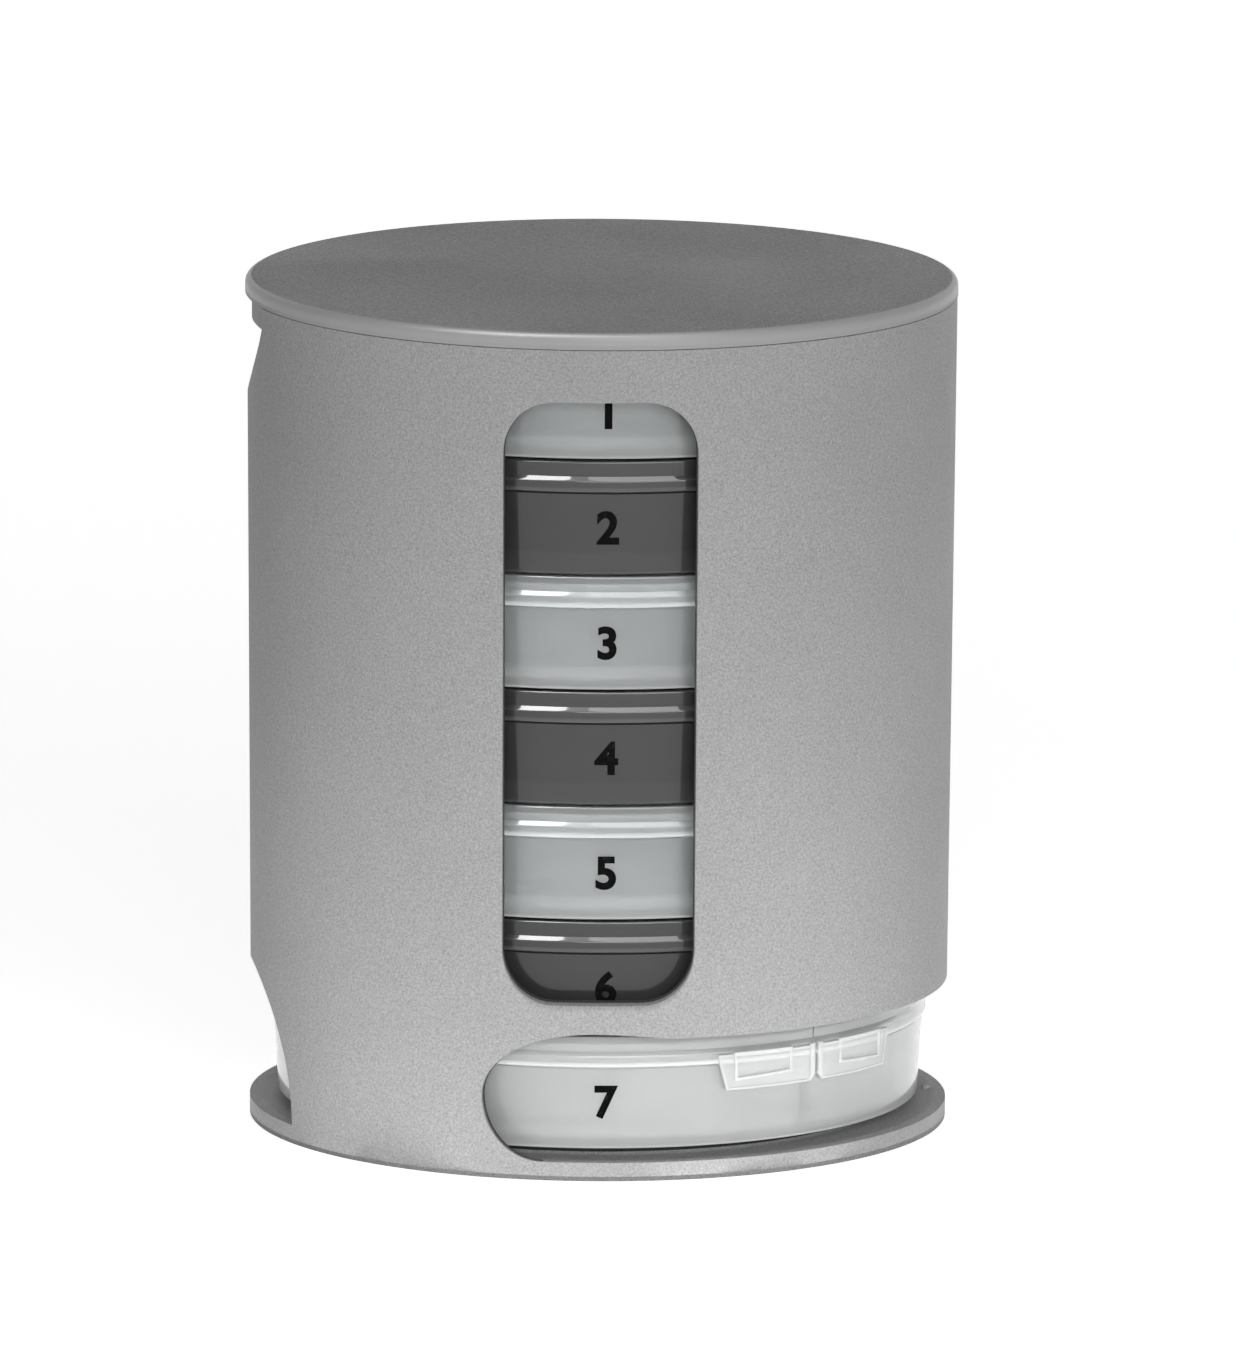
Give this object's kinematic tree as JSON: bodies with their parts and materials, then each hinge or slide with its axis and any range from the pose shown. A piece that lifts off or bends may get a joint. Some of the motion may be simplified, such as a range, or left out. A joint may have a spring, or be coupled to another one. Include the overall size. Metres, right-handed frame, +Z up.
{
  "type": "weekly pill organizer",
  "caption": "Drum-shaped pill organizer: a lidded case with a front window and an exit slot holds a stack of round day trays with hinged compartment flaps.",
  "frame": {"origin": "on the case's axis, in the plane of the foot ring that it stands on", "axes": "+Z up along the case's axis, -Y towards the front, through the middle of the window"},
  "size_m": [0.115, 0.115, 0.1374],
  "materials": {
    "grey_abs": "satin, finely textured",
    "clear_polypropylene": "frosted, translucent",
    "smoky_polypropylene": "smoky, translucent"
  },
  "bodies": {
    "case": {"case": "grey_abs"},
    "lid": {"lid": "grey_abs"},
    "tray_sun": {"tray_sun": "clear_polypropylene", "hinge_bar_sun": "clear_polypropylene"},
    "flap_sun_morning": {"flap_sun_morning": "clear_polypropylene"},
    "flap_sun_noon": {"flap_sun_noon": "clear_polypropylene"},
    "flap_sun_evening": {"flap_sun_evening": "clear_polypropylene"},
    "flap_sun_bedtime": {"flap_sun_bedtime": "clear_polypropylene"},
    "tray_mon": {"tray_mon": "smoky_polypropylene", "hinge_bar_mon": "smoky_polypropylene"},
    "flap_mon_morning": {"flap_mon_morning": "smoky_polypropylene"},
    "flap_mon_noon": {"flap_mon_noon": "smoky_polypropylene"},
    "flap_mon_evening": {"flap_mon_evening": "smoky_polypropylene"},
    "flap_mon_bedtime": {"flap_mon_bedtime": "smoky_polypropylene"},
    "tray_tue": {"tray_tue": "clear_polypropylene", "hinge_bar_tue": "clear_polypropylene"},
    "flap_tue_morning": {"flap_tue_morning": "clear_polypropylene"},
    "flap_tue_noon": {"flap_tue_noon": "clear_polypropylene"},
    "flap_tue_evening": {"flap_tue_evening": "clear_polypropylene"},
    "flap_tue_bedtime": {"flap_tue_bedtime": "clear_polypropylene"},
    "tray_wed": {"tray_wed": "smoky_polypropylene", "hinge_bar_wed": "smoky_polypropylene"},
    "flap_wed_morning": {"flap_wed_morning": "smoky_polypropylene"},
    "flap_wed_noon": {"flap_wed_noon": "smoky_polypropylene"},
    "flap_wed_evening": {"flap_wed_evening": "smoky_polypropylene"},
    "flap_wed_bedtime": {"flap_wed_bedtime": "smoky_polypropylene"},
    "tray_thu": {"tray_thu": "clear_polypropylene", "hinge_bar_thu": "clear_polypropylene"},
    "flap_thu_morning": {"flap_thu_morning": "clear_polypropylene"},
    "flap_thu_noon": {"flap_thu_noon": "clear_polypropylene"},
    "flap_thu_evening": {"flap_thu_evening": "clear_polypropylene"},
    "flap_thu_bedtime": {"flap_thu_bedtime": "clear_polypropylene"},
    "tray_fri": {"tray_fri": "smoky_polypropylene", "hinge_bar_fri": "smoky_polypropylene"},
    "flap_fri_morning": {"flap_fri_morning": "smoky_polypropylene"},
    "flap_fri_noon": {"flap_fri_noon": "smoky_polypropylene"},
    "flap_fri_evening": {"flap_fri_evening": "smoky_polypropylene"},
    "flap_fri_bedtime": {"flap_fri_bedtime": "smoky_polypropylene"},
    "tray_sat": {"tray_sat": "clear_polypropylene", "hinge_bar_sat": "clear_polypropylene"},
    "flap_sat_morning": {"flap_sat_morning": "clear_polypropylene"},
    "flap_sat_noon": {"flap_sat_noon": "clear_polypropylene"},
    "flap_sat_evening": {"flap_sat_evening": "clear_polypropylene"},
    "flap_sat_bedtime": {"flap_sat_bedtime": "clear_polypropylene"}
  },
  "joints": [
    {"name": "sat_slide", "type": "slide", "parent": "case", "child": "tray_sat", "axis": [0.9063, -0.4226, 0], "range_m": [0, 0.118]},
    {"name": "fri_lift", "type": "slide", "parent": "case", "child": "tray_fri", "axis": [0, 0, 1], "range_m": [0, 0.09]},
    {"name": "thu_lift", "type": "slide", "parent": "tray_fri", "child": "tray_thu", "axis": [0, 0, 1], "range_m": [0, 0.09]},
    {"name": "wed_lift", "type": "slide", "parent": "tray_thu", "child": "tray_wed", "axis": [0, 0, 1], "range_m": [0, 0.09]},
    {"name": "tue_lift", "type": "slide", "parent": "tray_wed", "child": "tray_tue", "axis": [0, 0, 1], "range_m": [0, 0.09]},
    {"name": "mon_lift", "type": "slide", "parent": "tray_tue", "child": "tray_mon", "axis": [0, 0, 1], "range_m": [0, 0.09]},
    {"name": "sun_lift", "type": "slide", "parent": "tray_mon", "child": "tray_sun", "axis": [0, 0, 1], "range_m": [0, 0.09]},
    {"name": "lid_lift", "type": "slide", "parent": "tray_sun", "child": "lid", "axis": [0, 0, 1], "range_m": [0, 0.09]},
    {"name": "sat_morning_hinge", "type": "hinge", "parent": "tray_sat", "child": "flap_sat_morning", "pos_m": [0.00207, -0.00238, 0.02275], "axis": [-0.7547, -0.6561, 0], "range_deg": [0, 90]},
    {"name": "sat_noon_hinge", "type": "hinge", "parent": "tray_sat", "child": "flap_sat_noon", "pos_m": [0.00207, -0.00238, 0.02275], "axis": [-0.7547, -0.6561, 0], "range_deg": [0, 90]},
    {"name": "sat_evening_hinge", "type": "hinge", "parent": "tray_sat", "child": "flap_sat_evening", "pos_m": [-0.00207, 0.00238, 0.02275], "axis": [0.7547, 0.6561, 0], "range_deg": [0, 90]},
    {"name": "sat_bedtime_hinge", "type": "hinge", "parent": "tray_sat", "child": "flap_sat_bedtime", "pos_m": [-0.00207, 0.00238, 0.02275], "axis": [0.7547, 0.6561, 0], "range_deg": [0, 90]},
    {"name": "fri_morning_hinge", "type": "hinge", "parent": "tray_fri", "child": "flap_fri_morning", "pos_m": [0.00207, -0.00238, 0.0414], "axis": [-0.7547, -0.6561, 0], "range_deg": [0, 90]},
    {"name": "fri_noon_hinge", "type": "hinge", "parent": "tray_fri", "child": "flap_fri_noon", "pos_m": [0.00207, -0.00238, 0.0414], "axis": [-0.7547, -0.6561, 0], "range_deg": [0, 90]},
    {"name": "fri_evening_hinge", "type": "hinge", "parent": "tray_fri", "child": "flap_fri_evening", "pos_m": [-0.00207, 0.00238, 0.0414], "axis": [0.7547, 0.6561, 0], "range_deg": [0, 90]},
    {"name": "fri_bedtime_hinge", "type": "hinge", "parent": "tray_fri", "child": "flap_fri_bedtime", "pos_m": [-0.00207, 0.00238, 0.0414], "axis": [0.7547, 0.6561, 0], "range_deg": [0, 90]},
    {"name": "thu_morning_hinge", "type": "hinge", "parent": "tray_thu", "child": "flap_thu_morning", "pos_m": [0.00207, -0.00238, 0.06005], "axis": [-0.7547, -0.6561, 0], "range_deg": [0, 90]},
    {"name": "thu_noon_hinge", "type": "hinge", "parent": "tray_thu", "child": "flap_thu_noon", "pos_m": [0.00207, -0.00238, 0.06005], "axis": [-0.7547, -0.6561, 0], "range_deg": [0, 90]},
    {"name": "thu_evening_hinge", "type": "hinge", "parent": "tray_thu", "child": "flap_thu_evening", "pos_m": [-0.00207, 0.00238, 0.06005], "axis": [0.7547, 0.6561, 0], "range_deg": [0, 90]},
    {"name": "thu_bedtime_hinge", "type": "hinge", "parent": "tray_thu", "child": "flap_thu_bedtime", "pos_m": [-0.00207, 0.00238, 0.06005], "axis": [0.7547, 0.6561, 0], "range_deg": [0, 90]},
    {"name": "wed_morning_hinge", "type": "hinge", "parent": "tray_wed", "child": "flap_wed_morning", "pos_m": [0.00207, -0.00238, 0.0787], "axis": [-0.7547, -0.6561, 0], "range_deg": [0, 90]},
    {"name": "wed_noon_hinge", "type": "hinge", "parent": "tray_wed", "child": "flap_wed_noon", "pos_m": [0.00207, -0.00238, 0.0787], "axis": [-0.7547, -0.6561, 0], "range_deg": [0, 90]},
    {"name": "wed_evening_hinge", "type": "hinge", "parent": "tray_wed", "child": "flap_wed_evening", "pos_m": [-0.00207, 0.00238, 0.0787], "axis": [0.7547, 0.6561, 0], "range_deg": [0, 90]},
    {"name": "wed_bedtime_hinge", "type": "hinge", "parent": "tray_wed", "child": "flap_wed_bedtime", "pos_m": [-0.00207, 0.00238, 0.0787], "axis": [0.7547, 0.6561, 0], "range_deg": [0, 90]},
    {"name": "tue_morning_hinge", "type": "hinge", "parent": "tray_tue", "child": "flap_tue_morning", "pos_m": [0.00207, -0.00238, 0.09735], "axis": [-0.7547, -0.6561, 0], "range_deg": [0, 90]},
    {"name": "tue_noon_hinge", "type": "hinge", "parent": "tray_tue", "child": "flap_tue_noon", "pos_m": [0.00207, -0.00238, 0.09735], "axis": [-0.7547, -0.6561, 0], "range_deg": [0, 90]},
    {"name": "tue_evening_hinge", "type": "hinge", "parent": "tray_tue", "child": "flap_tue_evening", "pos_m": [-0.00207, 0.00238, 0.09735], "axis": [0.7547, 0.6561, 0], "range_deg": [0, 90]},
    {"name": "tue_bedtime_hinge", "type": "hinge", "parent": "tray_tue", "child": "flap_tue_bedtime", "pos_m": [-0.00207, 0.00238, 0.09735], "axis": [0.7547, 0.6561, 0], "range_deg": [0, 90]},
    {"name": "mon_morning_hinge", "type": "hinge", "parent": "tray_mon", "child": "flap_mon_morning", "pos_m": [0.00207, -0.00238, 0.116], "axis": [-0.7547, -0.6561, 0], "range_deg": [0, 90]},
    {"name": "mon_noon_hinge", "type": "hinge", "parent": "tray_mon", "child": "flap_mon_noon", "pos_m": [0.00207, -0.00238, 0.116], "axis": [-0.7547, -0.6561, 0], "range_deg": [0, 90]},
    {"name": "mon_evening_hinge", "type": "hinge", "parent": "tray_mon", "child": "flap_mon_evening", "pos_m": [-0.00207, 0.00238, 0.116], "axis": [0.7547, 0.6561, 0], "range_deg": [0, 90]},
    {"name": "mon_bedtime_hinge", "type": "hinge", "parent": "tray_mon", "child": "flap_mon_bedtime", "pos_m": [-0.00207, 0.00238, 0.116], "axis": [0.7547, 0.6561, 0], "range_deg": [0, 90]},
    {"name": "sun_morning_hinge", "type": "hinge", "parent": "tray_sun", "child": "flap_sun_morning", "pos_m": [0.00207, -0.00238, 0.13465], "axis": [-0.7547, -0.6561, 0], "range_deg": [0, 90]},
    {"name": "sun_noon_hinge", "type": "hinge", "parent": "tray_sun", "child": "flap_sun_noon", "pos_m": [0.00207, -0.00238, 0.13465], "axis": [-0.7547, -0.6561, 0], "range_deg": [0, 90]},
    {"name": "sun_evening_hinge", "type": "hinge", "parent": "tray_sun", "child": "flap_sun_evening", "pos_m": [-0.00207, 0.00238, 0.13465], "axis": [0.7547, 0.6561, 0], "range_deg": [0, 90]},
    {"name": "sun_bedtime_hinge", "type": "hinge", "parent": "tray_sun", "child": "flap_sun_bedtime", "pos_m": [-0.00207, 0.00238, 0.13465], "axis": [0.7547, 0.6561, 0], "range_deg": [0, 90]}
  ],
  "couplings": [
    {"joint": "sat_morning_hinge", "follows": "fri_lift", "rad_per_m": 17.45},
    {"joint": "sat_noon_hinge", "follows": "fri_lift", "rad_per_m": 17.45},
    {"joint": "sat_evening_hinge", "follows": "fri_lift", "rad_per_m": 17.45},
    {"joint": "sat_bedtime_hinge", "follows": "fri_lift", "rad_per_m": 17.45},
    {"joint": "fri_morning_hinge", "follows": "thu_lift", "rad_per_m": 17.45},
    {"joint": "fri_noon_hinge", "follows": "thu_lift", "rad_per_m": 17.45},
    {"joint": "fri_evening_hinge", "follows": "thu_lift", "rad_per_m": 17.45},
    {"joint": "fri_bedtime_hinge", "follows": "thu_lift", "rad_per_m": 17.45},
    {"joint": "thu_morning_hinge", "follows": "wed_lift", "rad_per_m": 17.45},
    {"joint": "thu_noon_hinge", "follows": "wed_lift", "rad_per_m": 17.45},
    {"joint": "thu_evening_hinge", "follows": "wed_lift", "rad_per_m": 17.45},
    {"joint": "thu_bedtime_hinge", "follows": "wed_lift", "rad_per_m": 17.45},
    {"joint": "wed_morning_hinge", "follows": "tue_lift", "rad_per_m": 17.45},
    {"joint": "wed_noon_hinge", "follows": "tue_lift", "rad_per_m": 17.45},
    {"joint": "wed_evening_hinge", "follows": "tue_lift", "rad_per_m": 17.45},
    {"joint": "wed_bedtime_hinge", "follows": "tue_lift", "rad_per_m": 17.45},
    {"joint": "tue_morning_hinge", "follows": "mon_lift", "rad_per_m": 17.45},
    {"joint": "tue_noon_hinge", "follows": "mon_lift", "rad_per_m": 17.45},
    {"joint": "tue_evening_hinge", "follows": "mon_lift", "rad_per_m": 17.45},
    {"joint": "tue_bedtime_hinge", "follows": "mon_lift", "rad_per_m": 17.45},
    {"joint": "mon_morning_hinge", "follows": "sun_lift", "rad_per_m": 17.45},
    {"joint": "mon_noon_hinge", "follows": "sun_lift", "rad_per_m": 17.45},
    {"joint": "mon_evening_hinge", "follows": "sun_lift", "rad_per_m": 17.45},
    {"joint": "mon_bedtime_hinge", "follows": "sun_lift", "rad_per_m": 17.45},
    {"joint": "sun_morning_hinge", "follows": "lid_lift", "rad_per_m": 17.45},
    {"joint": "sun_noon_hinge", "follows": "lid_lift", "rad_per_m": 17.45},
    {"joint": "sun_evening_hinge", "follows": "lid_lift", "rad_per_m": 17.45},
    {"joint": "sun_bedtime_hinge", "follows": "lid_lift", "rad_per_m": 17.45}
  ]
}
